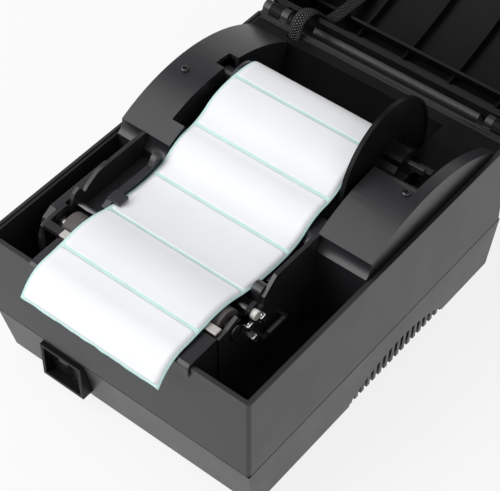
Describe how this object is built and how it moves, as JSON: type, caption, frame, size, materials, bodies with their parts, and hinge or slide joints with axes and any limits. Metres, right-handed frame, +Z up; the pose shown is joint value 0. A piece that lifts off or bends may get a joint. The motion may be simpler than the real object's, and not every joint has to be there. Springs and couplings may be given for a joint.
{
  "type": "thermal label printer",
  "caption": "Desktop thermal label printer with its lid thrown open, a roll of die-cut labels on a ribbed spindle and the label web fed over the platen and out at the front.",
  "frame": {"origin": "centre of the case's footprint, on the plane its feet stand on", "axes": "+Z up, -Y out of the front where labels leave, +X towards the right-hand side seen from the front"},
  "size_m": [0.15, 0.3998, 0.1751],
  "materials": {
    "case": "fine satin grain",
    "inner": "smooth satin",
    "nylon": "smooth",
    "board": "solder mask",
    "switch": "polished",
    "frame_paint": "black coat",
    "steel": "ground",
    "bright": "bright plate",
    "alloy": "drawn",
    "brass": "hobbed",
    "rubber": "ground",
    "foot_rubber": "moulded",
    "paper": "coated",
    "core": "wound board",
    "ceramic": "glazed",
    "lens": "clear",
    "sleeve": "braided"
  },
  "bodies": {
    "base": {"lower_case": "case", "upper_case": "case", "rubber_feet": "foot_rubber", "base_screws": "bright", "hinge_pins": "steel", "roll_bay": "inner", "bay_screws": "bright", "label_web": "paper", "pocket_tray": "inner", "left_frame": "frame_paint", "right_frame": "frame_paint", "frame_screws": "bright", "frame_spring": "steel", "guide_rod": "steel", "rod_bush": "nylon", "media_deck": "inner", "gap_sensor": "inner", "right_guide": "inner", "exit_ramp": "inner", "tear_bar": "steel", "platen_bushes": "nylon", "idler_shaft": "steel", "stepper_motor": "steel", "motor_screws": "bright", "gear_cover": "inner", "switch_housing": "inner", "main_board": "board", "usb_socket": "steel", "dc_jack": "inner"},
    "platen": {"platen_shaft": "steel", "platen_rubber": "rubber", "platen_gear": "nylon"},
    "idler": {"idler_gear": "nylon"},
    "rotor": {"motor_pinion": "brass"},
    "roll": {"spindle": "inner", "roll_core": "core", "label_roll": "paper"},
    "flange": {"sliding_flange": "inner"},
    "guide": {"left_guide": "inner"},
    "rocker": {"rocker": "switch"},
    "lid": {"lid_shell": "case", "head_bracket": "frame_paint", "head_pivot_pin": "steel", "head_springs": "steel", "cable_sleeve": "sleeve", "cable_clip": "inner", "button_board": "board", "indicator_lens": "lens", "lid_screws": "bright"},
    "head": {"head_heatsink": "alloy", "print_head": "ceramic", "head_connector": "inner"},
    "button": {"feed_button": "switch"}
  },
  "joints": [
    {"name": "lid_hinge", "type": "hinge", "parent": "base", "child": "lid", "pos_m": [0, 0.101, 0.085], "axis": [1, 0, 0], "range_deg": [0, 153], "deforming": ["cable_sleeve"]},
    {"name": "head_float", "type": "hinge", "parent": "lid", "child": "head", "pos_m": [0, 0.24354, 0.14337], "axis": [-1, 0, 0], "range_deg": [0, 3], "stiffness_Nm_per_rad": 2, "springref_deg": -1.15, "deforming": ["head_springs"]},
    {"name": "feed_press", "type": "slide", "parent": "lid", "child": "button", "axis": [0, -0.454, 0.891], "range_m": [0, 0.001], "stiffness_N_per_m": 400, "springref_m": -0.001},
    {"name": "platen_spin", "type": "hinge", "parent": "base", "child": "platen", "pos_m": [0, -0.068, 0.0808], "axis": [1, 0, 0], "continuous": true},
    {"name": "idler_spin", "type": "hinge", "parent": "base", "child": "idler", "pos_m": [0, -0.05743, 0.07193], "axis": [1, 0, 0], "continuous": true},
    {"name": "motor_spin", "type": "hinge", "parent": "base", "child": "rotor", "pos_m": [0, -0.04732, 0.06345], "axis": [1, 0, 0], "continuous": true},
    {"name": "roll_spin", "type": "hinge", "parent": "base", "child": "roll", "pos_m": [0, 0.0445, 0.0902], "axis": [1, 0, 0], "continuous": true},
    {"name": "flange_slide", "type": "slide", "parent": "roll", "child": "flange", "axis": [1, 0, 0], "range_m": [-0.0005, 0.0012]},
    {"name": "guide_slide", "type": "slide", "parent": "base", "child": "guide", "axis": [1, 0, 0], "range_m": [-0.0055, 0]},
    {"name": "rocker_tilt", "type": "hinge", "parent": "base", "child": "rocker", "pos_m": [-0.0345, -0.0911, 0.019], "axis": [0, 0, 1], "range_deg": [0, 18]}
  ],
  "couplings": [
    {"joint": "idler_spin", "follows": "platen_spin", "ratio": -0.4375},
    {"joint": "motor_spin", "follows": "platen_spin", "ratio": 1.1667}
  ]
}
